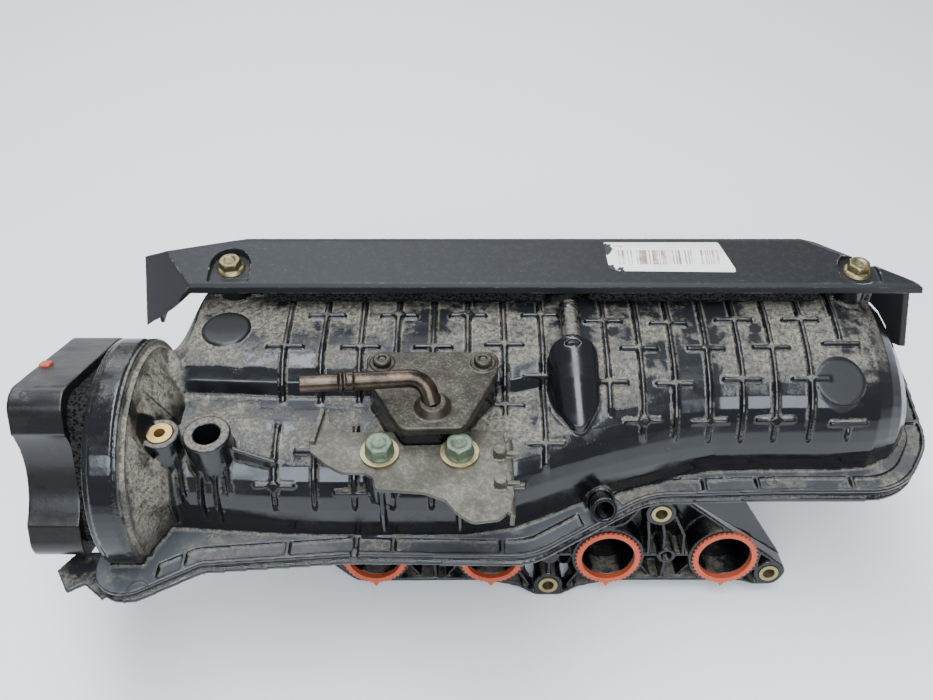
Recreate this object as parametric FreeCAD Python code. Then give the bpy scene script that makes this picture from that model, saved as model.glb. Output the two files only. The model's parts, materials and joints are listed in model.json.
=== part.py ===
import FreeCAD, Part
import math
import os

from FreeCAD import Placement, Rotation, Vector

# Intake manifold of an in-line four-cylinder engine: a welded two-shell plastic plenum on four
# curved runners. Millimetres, +Z up (draw direction of the upper shell), +X along the row of
# ports away from the throttle end, +Y away from the cylinder head.
# Origin: centre of the head-flange face, on the port row, midway between ports 2 and 3.

# ---- head flange -------------------------------------------------------------------------------
PORT_PITCH = 84.0
PORTS = [PORT_PITCH * k for k in (-1.5, -0.5, 0.5, 1.5)]
PORT_R = 18.75            # bore of each port and runner
PORT_WALL_R = 26.0        # moulded ring round each port
FACE_TILT = 15.0          # the face looks forward and this much upward
FLANGE_T = 22.0           # depth of the ribbed flange
FLANGE_WEB = 2.5          # closing web at the back of the ribbed pockets
LUG_T = 14.0              # depth of the bottom centre lug
BOLTS = [(0.0, -27.3), (160.3, -15.4), (-158.0, 14.0), (76.3, 40.3), (-76.3, 40.3)]
SLEEVE_R, SLEEVE_HOLE_R = 7.0, 4.3
SEAL_R, SEAL_IN_R = 22.7, 19.1
SEAL_DEPTH, SEAL_PROUD = 3.0, 1.6
# ---- runners -----------------------------------------------------------------------------------
RUNNER_R = 22.0
RUNNER_STRAIGHT = 62.3    # from the flange face to the start of the bend
RUNNER_BEND_R = 40.0
# ---- weld rim and shells -----------------------------------------------------------------------
JOINT_Z = 84.0            # weld plane between the shells
RIM_TOP, RIM_BOTTOM = 90.0, 78.0
RIM_LIP, RIM_GROOVE = 3.0, 2.5
WALL = 3.0
FLOOR_Z = 52.0            # underside of the lower shell
LOBE_REAR_Y = 134.0
RIB_T, RIB_H = 2.6, 3.0
# ---- throttle end ------------------------------------------------------------------------------
DRUM_Y, DRUM_Z, DRUM_R = 4.0, 118.0, 71.0
DRUM_X0, DRUM_X1 = -275.0, -255.0
THROTTLE_Y, THROTTLE_Z, THROTTLE_R = 10.0, 120.0, 32.0
NECK_BORE_R = 32.6        # a small step wider than the throttle bore in front of it
NECK_R = 43.0
NECK_X = -289.0           # face of the neck that carries the throttle flange
BLOCK_X = -320.0          # face that takes the throttle body
BLOCK_LUG_PITCH_R = 59.0
BLOCK_LUG_R = 13.0
BLOCK_TURN = 19.0
# ---- service cover -----------------------------------------------------------------------------
COVER_T = 2.5
COVER_BOLTS = [(-214.5, 103.0), (195.5, 100.0)]
COVER_LIP_Y, COVER_LIP_Z = 85.0, 178.5
COVER_SLOPE = 10.05
COVER_SEAT_Z = 184.5
POST_TOP = 180.5

NODES = {}


def keep(name, shape):
    """Clean a shape, store it under its node name and return it."""
    shape = shape.removeSplitter() if shape.ShapeType != "Compound" else shape
    NODES[name] = shape
    return shape


def fuse(shapes):
    shapes = list(shapes)
    return shapes[0].multiFuse(shapes[1:]) if len(shapes) > 1 else shapes[0]


def cyl(p, axis, r, h):
    return Part.makeCylinder(r, h, Vector(*p), Vector(*axis))


def tube(p, axis, r, r_in, h):
    return cyl(p, axis, r, h).cut(cyl(p, axis, r_in, h))


def box(x0, x1, y0, y1, z0, z1):
    return Part.makeBox(x1 - x0, y1 - y0, z1 - z0, Vector(x0, y0, z0))


def prism(points, z0, z1):
    """Extrude a polygon of (x, y) corners from z0 to z1."""
    vs = [Vector(x, y, z0) for x, y in points]
    return Part.Face(Part.makePolygon(vs + vs[:1])).extrude(Vector(0, 0, z1 - z0))


def rounded_wire(corners, z):
    """Closed wire through (x, y, radius) corners, each corner replaced by a tangent arc."""
    n, edges, ends = len(corners), [], []
    for i, (x, y, r) in enumerate(corners):
        p = Vector(x, y, z)
        a = (Vector(*corners[i - 1][:2], z) - p).normalize()
        b = (Vector(*corners[(i + 1) % n][:2], z) - p).normalize()
        half = math.acos(max(-1, min(1, a.dot(b)))) / 2
        if r <= 0 or abs(half - math.pi / 2) < 1e-3:
            ends.append((p, p, None))
            continue
        cut = r / math.tan(half)
        mid = p + (a + b).normalize() * (r / math.sin(half) - r)
        ends.append((p + a * cut, p + b * cut, mid))
    for i, (start, end, mid) in enumerate(ends):
        if mid is not None:
            edges.append(Part.Arc(start, mid, end).toShape())
        following = ends[(i + 1) % n][0]
        if (following - end).Length > 1e-4:
            edges.append(Part.makeLine(end, following))
    return Part.Wire(edges)


def rounded_prism(corners, z0, z1, inset=0.0):
    face = Part.Face(rounded_wire(corners, z0))
    if inset:
        face = face.makeOffset2D(-inset)
    return face.extrude(Vector(0, 0, z1 - z0))


def fillet_safe(shape, edges, r):
    """Fillet the given edges, or return the shape as it was when the kernel declines."""
    try:
        out = shape.makeFillet(r, edges)
        return out if out.isValid() and out.Volume > 0 else shape
    except Exception:
        return shape


# ---- head flange: drawn flat in (x, v), then stood up so that local Z is the face normal ---------
FLANGE = Placement(Vector(0, 0, 0), Rotation(Vector(1, 0, 0), 90.0 - FACE_TILT))


def placed(shape, placement):
    shape = shape.copy()
    shape.Placement = placement.multiply(shape.Placement)
    return shape


def bar(p, q, width, z0, z1):
    """Straight rib of the given width from (x, v) point p to q."""
    dx, dy = q[0] - p[0], q[1] - p[1]
    k = width / 2 / math.hypot(dx, dy)
    nx, ny = -dy * k, dx * k
    return prism([(p[0] + nx, p[1] + ny), (q[0] + nx, q[1] + ny),
                  (q[0] - nx, q[1] - ny), (p[0] - nx, p[1] - ny)], z0, z1)


def flange_outline(inset, z0, z1):
    ux, uv = BOLTS[3]
    middle = [(9.0, -37.3, 9), (22.0, -29.0, 8), (44.0, -22.8, 30)]
    lobe = [(ux + 17, uv + 11.7, 11), (ux - 12, uv + 11.7, 9), (ux - 27, 29.0, 16)]
    right = [(140.0, -22.8, 30), (150.0, -26.6, 8), (166.0, -26.6, 10), (174.5, -12.0, 9)]
    left = [(-170.0, 22.0, 11), (-169.0, 5.0, 11), (-150.0, -14.0, 12), (-140.0, -23.5, 14)]
    back = [(-x, v, r) for x, v, r in lobe[::-1]]
    return rounded_prism(middle + right + lobe + back + left
                         + [(-x, v, r) for x, v, r in middle[::-1]], z0, z1, inset)


def build_flange():
    depth = -FLANGE_T
    outer = flange_outline(0.0, depth, 0.0)
    outer = outer.cut(box(-24, 24, -45, -24.5, depth - 1, -LUG_T))
    ribs = []
    for x in PORTS:
        ribs.append(cyl((x, 0, depth), (0, 0, 1), PORT_WALL_R, FLANGE_T))
    for x, v in BOLTS:
        ribs.append(cyl((x, v, depth), (0, 0, 1), 10.6, FLANGE_T))
    for s in (-1, 1):
        mid = s * PORT_PITCH
        ux = s * BOLTS[3][0]
        ribs.append(cyl((mid, 1.0, depth), (0, 0, 1), 6.6, FLANGE_T))
        ribs.append(bar((mid - 20, 1.0), (mid + 20, 1.0), 2.4, depth, -1.0))
        ribs.append(bar((mid, 1.0), (mid - 2 * s, -24.0), 2.4, depth, -1.0))
        for dx, top in ((-13, -9), (-2, 1), (12, 10)):
            ribs.append(bar((mid + s * dx, 1.0), (mid + s * (dx - 1), 20.0), 2.4, depth, -1.0))
            ribs.append(bar((mid + s * (dx - 1), 19.5), (ux + s * top, 38.0), 2.4, depth, -1.0))
        ribs.append(bar((mid - s * 19, -8), (mid - s * 8, -24.0), 2.2, depth, -3.0))
        ribs.append(bar((mid + s * 19, -8), (mid + s * 8, -24.0), 2.2, depth, -3.0))
        ribs.append(bar((s * 14, -30), (s * 24, -12), 2.4, depth, -2.0))
    ribs.append(cyl((0, 0, depth), (0, 0, 1), 6.6, FLANGE_T))
    ribs.append(bar((0, -20), (0, 29), 2.4, depth, -1.0))
    ribs.append(bar((-20, 1), (20, 1), 2.4, depth, -1.0))
    pockets = flange_outline(2.6, depth + FLANGE_WEB, 0.5).cut(fuse(ribs))
    body = outer.cut(pockets)
    for x in PORTS:
        body = body.cut(cyl((x, 0, depth - 1), (0, 0, 1), PORT_R, FLANGE_T + 2))
        body = body.cut(cyl((x, 0, -SEAL_DEPTH), (0, 0, 1), SEAL_R, SEAL_DEPTH + 1))
    for x, v in BOLTS:
        body = body.cut(cyl((x, v, depth - 1), (0, 0, 1), SLEEVE_R, FLANGE_T + 2))
    for s in (-1, 1):
        body = body.cut(cyl((s * PORT_PITCH, 1.0, -12), (0, 0, 1), 3.8, 13))
    keep("head_flange", placed(body, FLANGE))

    rings = []
    for x, v in BOLTS:
        length = LUG_T if x == 0 else FLANGE_T
        ring = tube((x, v, -length), (0, 0, 1), SLEEVE_R, SLEEVE_HOLE_R, length + 0.6)
        rings.append(placed(ring, FLANGE))
    keep("flange_sleeves", Part.makeCompound(rings))

    for k, x in enumerate(PORTS, 1):
        z0, z1 = -SEAL_DEPTH, SEAL_PROUD
        ring = tube((x, 0, z0), (0, 0, 1), SEAL_R - 0.1, SEAL_IN_R, z1 - z0)
        tab = prism([(x - 3.4, -SEAL_R + 1), (x + 3.4, -SEAL_R + 1), (x, -SEAL_R - 4.2)], 0.05, z1)
        teeth = [cyl((x + (SEAL_R + 0.1) * math.cos(a), (SEAL_R + 0.1) * math.sin(a), 0.05),
                     (0, 0, 1), 0.9, z1 - 0.35)
                 for a in (2 * math.pi * t / 40 for t in range(40))]
        keep("port_seal_%d" % k, placed(fuse([ring, tab] + teeth), FLANGE))


# ---- runners -----------------------------------------------------------------------------------
def runner_solid(x, r, z_top):
    """Curved duct: back along the flange normal, then a bend up into the plenum floor."""
    c, s = math.cos(math.radians(FACE_TILT)), math.sin(math.radians(FACE_TILT))
    back = Vector(0, c, -s)
    up = Vector(0, s, c)
    start = Vector(x, 0, 0) + back * FLANGE_T
    bend = Vector(x, 0, 0) + back * RUNNER_STRAIGHT
    centre = bend + up * RUNNER_BEND_R
    straight = Part.makeCylinder(r, RUNNER_STRAIGHT - FLANGE_T, start, back)
    disc = Part.Face(Part.Wire(Part.makeCircle(r, bend, back)))
    turn = disc.revolve(centre, Vector(1, 0, 0), 90 + FACE_TILT)
    end = Vector(x, centre.y + RUNNER_BEND_R, centre.z)
    riser = Part.makeCylinder(r, z_top - end.z, end, Vector(0, 0, 1))
    return straight.fuse(turn).fuse(riser)


def runner_end():
    c, s = math.cos(math.radians(FACE_TILT)), math.sin(math.radians(FACE_TILT))
    return RUNNER_STRAIGHT * c + RUNNER_BEND_R * s + RUNNER_BEND_R


def build_runners():
    for k, x in enumerate(PORTS, 1):
        outer = runner_solid(x, RUNNER_R, FLOOR_Z)
        inner = runner_solid(x, PORT_R, FLOOR_Z)
        body = outer.cut(inner)
        band = tube((x, runner_end(), FLOOR_Z - 5), (0, 0, 1), RUNNER_R + 2, RUNNER_R - 1, 5)
        keep("runner_%d" % k, body.fuse(band))
    y = runner_end()
    bells = []
    for x in PORTS:
        z = FLOOR_Z + WALL
        cone = Part.makeCone(PORT_R + 1.5, PORT_R + 6.5, 8, Vector(x, y, z + 5))
        cone = cone.cut(Part.makeCone(PORT_R, PORT_R + 5, 8, Vector(x, y, z + 5)))
        bells.append(cone.fuse(tube((x, y, z), (0, 0, 1), PORT_R + 1.5, PORT_R, 5)))
    keep("runner_bellmouths", Part.makeCompound(bells))


# ---- plenum: cross-sections of the dome, front foot first ---------------------------------------
# Each section is a list of (y, z); the front foot follows foot_y(x).
TWO_LOBES = [(0, 84), (1, 100), (3, 116), (9, 130), (21, 140), (38, 145), (54, 145.5), (64, 145),
             (68, 152), (76, 160), (92, 163.5), (118, 163.5), (146, 161), (162, 150), (171, 128),
             (174, 104), (174, 84)]
ONE_LOBE = [(0, 84), (-1, 100), (0, 114), (4, 127), (10, 138), (18, 146), (26, 151.5), (34, 155.5),
            (43, 158.5), (54, 161), (67, 163), (82, 163.5), (100, 161), (112, 150), (121, 128),
            (124, 104), (124, 84)]
END_LOBE = [(0, 84), (0, 98), (1, 113), (6, 128), (18, 139), (34, 145), (48, 149), (60, 154),
            (72, 158), (84, 158), (95, 153), (105, 143), (115, 131), (124, 118), (131, 106),
            (137, 95), (140, 84)]
FOOT = [(-258, -30), (-250, -35), (-163, -41), (-60, -41), (-26, -35), (0, -22), (30, -9),
        (60, 1), (94, 9), (130, 10.5), (180, 10.5), (204, 13), (221, 21), (233, 34), (239, 50),
        (242, 66)]
DOME_X1 = 241.0
PROFILE_POINTS = 30
STATIONS = [-257, -254, -251, -248, -245, -242, -239, -236, -232, -222, -205, -180, -150, -105, -60, -30,
            -14, 0, 14, 30, 48, 70, 100, 140, 176, 190, 202, 212, 221, 229, 235, 238.5, 240.6]


def smooth(a, b, x):
    t = max(0.0, min(1.0, (x - a) / (b - a)))
    return t * t * (3 - 2 * t)


def foot_y(x):
    for (xa, ya), (xb, yb) in zip(FOOT, FOOT[1:]):
        if x <= xb:
            return ya + (yb - ya) * max(0.0, (x - xa) / (xb - xa))
    return FOOT[-1][1]


def section(x, offset=0.0):
    """Dome cross-section at x, moved outward along its normal by offset."""
    lobes = smooth(-26, 40, x)
    start = smooth(-255, -234, x)
    foot = foot_y(x)
    end = max(0.0, (x - 184.0) / (DOME_X1 - 184.0))
    height = math.sqrt(max(0.0, 1 - end ** 2.4)) if end > 0 else 1.0
    rear_pull = 44 * (1 - math.sqrt(max(0.0, 1 - end ** 2.6))) if end > 0 else 0.0
    points = []
    for e, a, b in zip(END_LOBE, TWO_LOBES, ONE_LOBE):
        two = (e[0] + (a[0] - e[0]) * start - 41, e[1] + (a[1] - e[1]) * start)
        if lobes <= 0:
            y, z = two
        else:
            one = (b[0] + 10, b[1])
            y, z = two[0] + (one[0] - two[0]) * lobes, two[1] + (one[1] - two[1]) * lobes
        base = -41 + 51 * lobes
        span = LOBE_REAR_Y - base if start >= 1 else 140.0 + 34 * start
        share = (y - base) / span
        rear = base + span - rear_pull
        y = foot + (rear - foot) * share
        points.append((y, JOINT_Z + (z - JOINT_Z) * height))
    curve = Part.BSplineCurve()
    curve.interpolate([Vector(0, y, z) for y, z in points])
    points = [(p.y, p.z) for p in curve.discretize(Number=PROFILE_POINTS)]
    if not offset:
        return points
    moved = []
    last = len(points) - 1
    for i, (y, z) in enumerate(points):
        (ya, za), (yb, zb) = points[max(0, i - 1)], points[min(last, i + 1)]
        length = math.hypot(yb - ya, zb - za) or 1.0
        ny, nz = -(zb - za) / length, (yb - ya) / length
        if i in (0, last):
            ny, nz = (-1 if i == 0 else 1), 0
        moved.append((y + ny * offset, max(JOINT_Z, z + nz * offset)))
    return moved


def dome(offset=0.0):
    """Solid under the dome surface moved outward by offset, standing on the weld plane."""
    wires = []
    for x in STATIONS:
        pts = [Vector(x, y, z) for y, z in section(x, offset)]
        wires.append(Part.makePolygon(pts + pts[:1]))
    return Part.makeLoft(wires, True, True)


def surface_at(x, s):
    """Point (y, z) at fraction s of the section's length, with its outward normal."""
    pts = section(x)
    steps = [math.hypot(b[0] - a[0], b[1] - a[1]) for a, b in zip(pts, pts[1:])]
    goal = s * sum(steps)
    for (a, b), d in zip(zip(pts, pts[1:]), steps):
        if goal <= d:
            t = goal / d
            y, z = a[0] + (b[0] - a[0]) * t, a[1] + (b[1] - a[1]) * t
            return (y, z), (-(b[1] - a[1]) / d, (b[0] - a[0]) / d)
        goal -= d
    return pts[-1], (0, 1)


# ---- weld rim ------------------------------------------------------------------------------------
RIM = [(-283.5, -50, 3), (-284, -81, 18), (-259, -81, 20), (-222, -61, 14), (-130, -54, 60),
       (-20, -56, 50), (58, -10, 55), (150, -7, 60), (225, -7, 44), (252, 32, 44), (257, 92, 60),
       (257, 150, 34), (-262, 150, 30), (-262, 88, 10), (-273, 78, 8), (-273, -50, 3)]
TRAY = [(-255, -37, 18), (-160, -41, 60), (-30, -39, 50), (62, 4, 60), (150, 11, 60),
        (214, 13, 30), (240, 52, 30), (240, 140, 30), (-240, 140, 30), (-255, 100, 20)]


def rim_slab(z0, z1, inset=0.0):
    return rounded_prism(RIM, z0, z1, inset)


def half_drum(r, x0, x1, upper):
    body = cyl((x0, DRUM_Y, DRUM_Z), (1, 0, 0), r, x1 - x0)
    lim = box(x0 - 1, x1 + 1, -120, 160, JOINT_Z, 260) if upper else \
        box(x0 - 1, x1 + 1, -120, 160, 0, JOINT_Z)
    return body.common(lim)


# ---- ribs and bosses on the upper shell ------------------------------------------------------------
# Ribs as (x, first and last fraction of the section length, fractions of the cross bars).
HIGH_ROWS, LOW_ROWS = (0.50, 0.32), (0.41, 0.21)
REAR_RIBS = [
    (-175.0, 0.36, 0.66, (0.50,)), (-151.0, 0.36, 0.66, (0.60,)), (-127.0, 0.36, 0.66, (0.50,)),
    (-104.0, 0.36, 0.66, (0.60,)), (-81.0, 0.36, 0.66, (0.50,)), (-59.0, 0.36, 0.66, (0.60,)),
    (-36.0, 0.30, 0.66, (0.50, 0.345)), (-12.0, 0.16, 0.66, (0.58, 0.41, 0.23)),
    (29.0, 0.26, 0.66, (0.53, 0.35)), (50.0, 0.18, 0.66, (0.43, 0.24)),
    (71.0, 0.16, 0.66, HIGH_ROWS), (93.0, 0.135, 0.66, LOW_ROWS), (114.0, 0.135, 0.66, HIGH_ROWS),
    (135.0, 0.135, 0.66, LOW_ROWS), (157.5, 0.135, 0.66, HIGH_ROWS), (180.0, 0.42, 0.62, (0.42,)),
    (182.0, 0.14, 0.20, (0.20,)),
]
FRONT_RIBS = [(-175.0, 0.10, 0.31, (0.165,)), (-151.0, 0.10, 0.31, (0.24,)),
              (-127.0, 0.10, 0.31, (0.15,)), (-104.0, 0.10, 0.31, ()), (-81.0, 0.10, 0.31, ()),
              (-59.0, 0.10, 0.31, ()), (-36.0, 0.10, 0.27, (0.15,))]
NUBS = [(-104.0, 0.60), (-175.0, 0.165), (50.0, 0.24), (135.0, 0.21), (-59.0, 0.60)]
BAR_LEN = 24.0


def rib_band(x, s0, s1):
    """Rib across the dome at x between two fractions of the section length, tapered at its ends."""
    pts = section(x)
    total = sum(math.hypot(b[0] - a[0], b[1] - a[1]) for a, b in zip(pts, pts[1:]))
    n = max(6, int((s1 - s0) * 40))
    over, under = [], []
    for k in range(n + 1):
        (y, z), (ny, nz) = surface_at(x, s0 + (s1 - s0) * k / n)
        fade = min(1.0, min(k, n - k) * (s1 - s0) * total / n / 6.0)
        rise = RIB_H * fade - 0.2 * (1 - fade)
        over.append(Vector(x - RIB_T / 2, y + ny * rise, z + nz * rise))
        under.append(Vector(x - RIB_T / 2, y - ny * 1.6, z - nz * 1.6))
    ring = over + under[::-1]
    return Part.Face(Part.makePolygon(ring + ring[:1])).extrude(Vector(RIB_T, 0, 0))


def on_dome(shape, x, s):
    """Set a shape drawn about the origin onto the dome, its Z along the surface normal."""
    (y, z), (ny, nz) = surface_at(x, s)
    turn = Rotation(Vector(1, 0, 0), math.degrees(math.atan2(-ny, nz)))
    return placed(shape, Placement(Vector(x, y, z), turn))


def cross_bar(x, s):
    return on_dome(box(-BAR_LEN / 2, BAR_LEN / 2, -RIB_T / 2, RIB_T / 2, -1.8, RIB_H - 0.1), x, s)


def fan_rib(x0, y0, x1, y1, z0, z1, t=2.4):
    """Upright gusset running out from a boss, its top edge falling from z0 to z1."""
    d = math.hypot(x1 - x0, y1 - y0)
    low = 100.0
    pts = [(0, low), (0, z0), (d, z1), (d, low)]
    vs = [Vector(u, -t / 2, z) for u, z in pts]
    body = Part.Face(Part.makePolygon(vs + vs[:1])).extrude(Vector(0, t, 0))
    turn = Rotation(Vector(0, 0, 1), math.degrees(math.atan2(y1 - y0, x1 - x0)))
    return placed(body, Placement(Vector(x0, y0, 0), turn))


INSERT_BOSS = (-241.0, -14.0, 157.0)
INSERT_BOSS_R = 11.5
PORT_BOSS = (-213.0, -15.0, 158.0)
PORT_BOSS_R = 14.0
CAP_Z = 168.0
CAP_OUTLINE = [(-121, 36, 7), (-40, 36, 7), (-41, 18, 9), (-61, -25, 7), (-98, -26, 7),
               (-120, 14, 12)]
CAP_BASE = [(-121, 36, 7), (-40, 36, 7), (-41, 18, 9), (-66, -16, 5), (-74, -24, 5), (-98, -25, 6),
            (-120, 14, 12)]
CAP_SCREWS = [(-111.0, 26.0), (-50.0, 26.0)]
CAP_HOLE = (-79.5, -9.0)
BRACKET_BOLTS = [(-110.0, -30.0), (-64.0, -30.0)]
BRACKET_Z = 155.0
BRACKET_T = 3.0
NIPPLE_ROOT = (24.5, -12.0, 89.5)
NIPPLE_DIR = (0.065, -0.783, 0.471)
HOSE_TAIL_X, HOSE_TAIL_Y, HOSE_TAIL_Z = 6.0, 46.0, 171.0
POD_R = 17.0
HOSE_SOCKET = 4.5


def hose_pod():
    """Bullet-shaped bulge on the dome that carries the hose tail, lying along the slope."""
    plan = rounded_prism([(-8.7, 46, 4), (-8.7, 16, 22), (9.5, -5, 6), (22.5, 16, 22), (22.5, 46, 4)],
                         120, 190)
    axis = Vector(0.06, -0.82, -0.57).normalize()
    back = Vector(6.9, 46, 158.5) - axis * 20
    return plan.common(Part.makeCylinder(POD_R, 110, back, axis))


def collar():
    """Ring that joins the neck to the plenum, with the raised pad round its crown."""
    shapes = [half_drum(DRUM_R, DRUM_X0, DRUM_X1, True),
              half_drum(DRUM_R - 5, DRUM_X1 - 0.5, DRUM_X1 + 3, True)]
    for r0, r1, length, y0, y1 in ((54, 42, 6, -120, 60), (64, 31, 17, -120, -27), (64, 31, 17, 2, 62)):
        slope = Part.makeCone(r0, r1, length, Vector(DRUM_X1 + 2.5, DRUM_Y, DRUM_Z), Vector(1, 0, 0))
        shapes.append(slope.common(box(-300, -200, y0, y1, JOINT_Z, 260)))
    neck = cyl((NECK_X, THROTTLE_Y, THROTTLE_Z), (1, 0, 0), NECK_R, 15)
    shapes.append(neck.cut(box(DRUM_X0, -200, -100, 150, 60, JOINT_Z)))
    band = tube((DRUM_X0 + 4, DRUM_Y, DRUM_Z), (1, 0, 0), DRUM_R + 1.4, DRUM_R - 1, 13)
    shapes.append(band.common(box(-300, -240, -80, 45, 106, 260)))
    return fuse(shapes)


def plenum_void():
    """Inside of the upper shell: dome, collar and throttle bore."""
    pts = [Vector(-260, y, z) for y, z in section(-257, -WALL)]
    throat = Part.Face(Part.makePolygon(pts + pts[:1])).extrude(Vector(4, 0, 0))
    return fuse([dome(-WALL), throat, half_drum(DRUM_R - 4, DRUM_X0 + 3, DRUM_X1 - 3, True),
                 cyl((NECK_X - 1, THROTTLE_Y, THROTTLE_Z), (1, 0, 0), NECK_BORE_R, 20)])


def boss_solids():
    """Everything that stands on the dome apart from its ribs."""
    add = []
    for (x, y, z), r in ((INSERT_BOSS, INSERT_BOSS_R), (PORT_BOSS, PORT_BOSS_R)):
        add.append(cyl((x, y, 118), (0, 0, 1), r, z - 118))
        for dx, y1, low in ((-7, -38, 122), (3, -40, 118), (11, -34, 124)):
            add.append(fan_rib(x + dx * 0.8, y - 6, x + dx, y1, z - 8, low))
    x, y, z = PORT_BOSS
    add.append(fan_rib(x + 10, y - 3, x + 40, y - 9, z - 7, 143))
    x, y, z = INSERT_BOSS
    add.append(fan_rib(x, y + 10, x + 2, y + 30, z - 5, 147))
    add.append(cyl((-215, 67, 150), (0, 0, 1), 15.0, 15.3))
    add.append(on_dome(cyl((0, 0, -7), (0, 0, 1), 15.0, 7.4), 176.5, 0.312))
    for x, y in COVER_BOLTS:
        add.append(cyl((x, y, 150), (0, 0, 1), 9.5, POST_TOP - 150))
        add.append(fan_rib(x - 16, y, x + 16, y, 168, 168))
    add.append(rounded_prism(CAP_BASE, 132, CAP_Z - 1.0, 1.5))
    for x, y in BRACKET_BOLTS:
        add.append(cyl((x, y, 120), (0, 0, 1), 10.0, BRACKET_Z - 120))
        add.append(fan_rib(x, y - 6, x, y - 16, 150, 120))
    add.append(hose_pod())
    add.append(Part.makeCylinder(9.6, 8, Vector(*NIPPLE_ROOT), Vector(*NIPPLE_DIR)))
    add.append(box(-130.5, -126.5, -57.0, -50.0, JOINT_Z + 1, RIM_TOP + 1.5))
    return add


def rib_solids():
    add = []
    for x, s0, s1, bars in REAR_RIBS + FRONT_RIBS:
        add.append(rib_band(x, s0, s1))
        add += [cross_bar(x, s) for s in bars]
    add += [on_dome(cyl((0, 0, -2), (0, 0, 1), 3.4, 2 + RIB_H + 0.8), x, s) for x, s in NUBS]
    return add


def upper_holes():
    """Blind and through holes of the upper shell."""
    holes = []
    x, y, z = INSERT_BOSS
    holes.append(cyl((x, y, z - 14), (0, 0, 1), 7.5, 15))
    x, y, z = PORT_BOSS
    holes.append(cyl((x, y, z - 32), (0, 0, 1), 7.75, 33))
    holes += [cyl((x, y, POST_TOP - 16), (0, 0, 1), 5.6, 17) for x, y in COVER_BOLTS]
    holes += [cyl((x, y, BRACKET_Z - 13), (0, 0, 1), 5.6, 14) for x, y in BRACKET_BOLTS]
    holes += [cyl((x, y, CAP_Z - 15), (0, 0, 1), 2.2, 15) for x, y in CAP_SCREWS]
    holes.append(cyl((*CAP_HOLE, 130), (0, 0, 1), 9.0, 40))
    root = Vector(HOSE_TAIL_X, HOSE_TAIL_Y, HOSE_TAIL_Z)
    holes.append(Part.makeCylinder(6.2, HOSE_SOCKET + 0.05, root + Vector(0, 0.05, 0), Vector(0, -1, 0)))
    holes.append(Part.makeCylinder(3.6, 28, root, Vector(0, -0.8, -0.6)))
    p, d = Vector(*NIPPLE_ROOT), Vector(*NIPPLE_DIR).normalize()
    holes.append(Part.makeCylinder(7.75, 10, p + d * 1.95, d))
    holes.append(Part.makeCylinder(6.0, 30, p - d * 26, d))
    holes.append(Part.makeCylinder(8.8, 12, p + d * 12, d))
    return holes


def build_upper_shell():
    rim = [rim_slab(JOINT_Z + RIM_LIP, RIM_TOP), rim_slab(JOINT_Z, JOINT_Z + RIM_LIP, RIM_GROOVE)]
    body = fuse([dome(), collar()] + rim + boss_solids() + rib_solids())
    body = body.cut(box(DRUM_X0, 300, -120, 170, 40, JOINT_Z))
    body = body.cut(plenum_void()).cut(fuse(upper_holes())).cut(rim_pockets())
    keep("upper_shell", body)


def rim_pockets():
    """Shallow troughs in the flat of the rim, split by cross walls."""
    depth = 2.0
    band = rim_slab(RIM_TOP - depth, RIM_TOP + 1, 2.6).cut(
        rim_slab(RIM_TOP - 3, RIM_TOP + 2, 12.0))
    stops = [box(x - 1.2, x + 1.2, -70, 30, 80, 100)
             for x in (-232, -170, -128, -105, -38, 95, 130, 192)]
    stops += [box(230, 270, y - 1.2, y + 1.2, 80, 100) for y in (52, 104)]
    stops += [dome(1.0), box(-300, -246, -100, 160, 80, 100), cyl((26, -24, 80), (0, 0, 1), 15, 20),
              box(-300, 300, 100, 160, 80, 100)]
    return band.cut(fuse(stops))


def build_lower_shell():
    top = rim_slab(JOINT_Z - RIM_LIP, JOINT_Z - 0.02, RIM_GROOVE)
    low = rim_slab(RIM_BOTTOM, JOINT_Z - RIM_LIP)
    tongue = prism([(-303, -48), (-311, -60), (-301.5, -74.5), (-292, -69), (-279, -79), (-268, -70),
                    (-287, -46)],
                   RIM_BOTTOM, JOINT_Z - RIM_LIP)
    tray = rounded_prism(TRAY, FLOOR_Z, RIM_BOTTOM + 1)
    rims = [e for e in tray.Edges if abs(e.BoundBox.ZMax - FLOOR_Z) < 0.01]
    tray = fillet_safe(tray, rims, 8.0)
    drum = half_drum(DRUM_R, DRUM_X0, DRUM_X1 + 8, False)
    a, b, c = Vector(80, 11, 66), Vector(124, 13, 66), Vector(169, 5, -6)
    skin = Part.Face(Part.makePolygon([a, b, c, a])).extrude((b - a).cross(c - a).normalize() * 2.5)
    skin = skin.cut(placed(flange_outline(-0.05, -FLANGE_T - 0.05, 0.05), FLANGE))
    body = fuse([tray, top, low, tongue, drum, skin])
    body = body.cut(box(-330, 300, -120, 170, JOINT_Z - 0.02, 300))
    inner = rounded_prism(TRAY, FLOOR_Z + WALL, JOINT_Z + 1, WALL)
    floor = [e for e in inner.Edges if abs(e.BoundBox.ZMax - FLOOR_Z - WALL) < 0.01]
    inner = fillet_safe(inner, floor, 6.0)
    body = body.cut(fuse([inner, half_drum(DRUM_R - 4, DRUM_X0 + 3, DRUM_X1 - 3, False),
                          box(-262, -245, -28, 50, 70, 85)]))
    y = runner_end()
    for x in PORTS:
        body = body.cut(cyl((x, y, FLOOR_Z - 1), (0, 0, 1), PORT_R, 12))
    ribs = [box(x - 1.0, x + 1.0, 24, 128, FLOOR_Z - 3.5, FLOOR_Z + 1.5)
            for x in (-210, -168, -84, 0, 84, 168, 205)]
    ribs += [box(-232, 226, v - 1.0, v + 1.0, FLOOR_Z - 3.5, FLOOR_Z + 1.5) for v in (50, 76)]
    foot = rounded_prism(TRAY, FLOOR_Z - 10, FLOOR_Z + 2, 9.0)
    body = fuse([body] + [r.common(foot) for r in ribs])
    for x in PORTS:
        body = body.cut(cyl((x, y, FLOOR_Z - 10), (0, 0, 1), RUNNER_R + 3, 10))
    keep("lower_shell", body)


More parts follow.
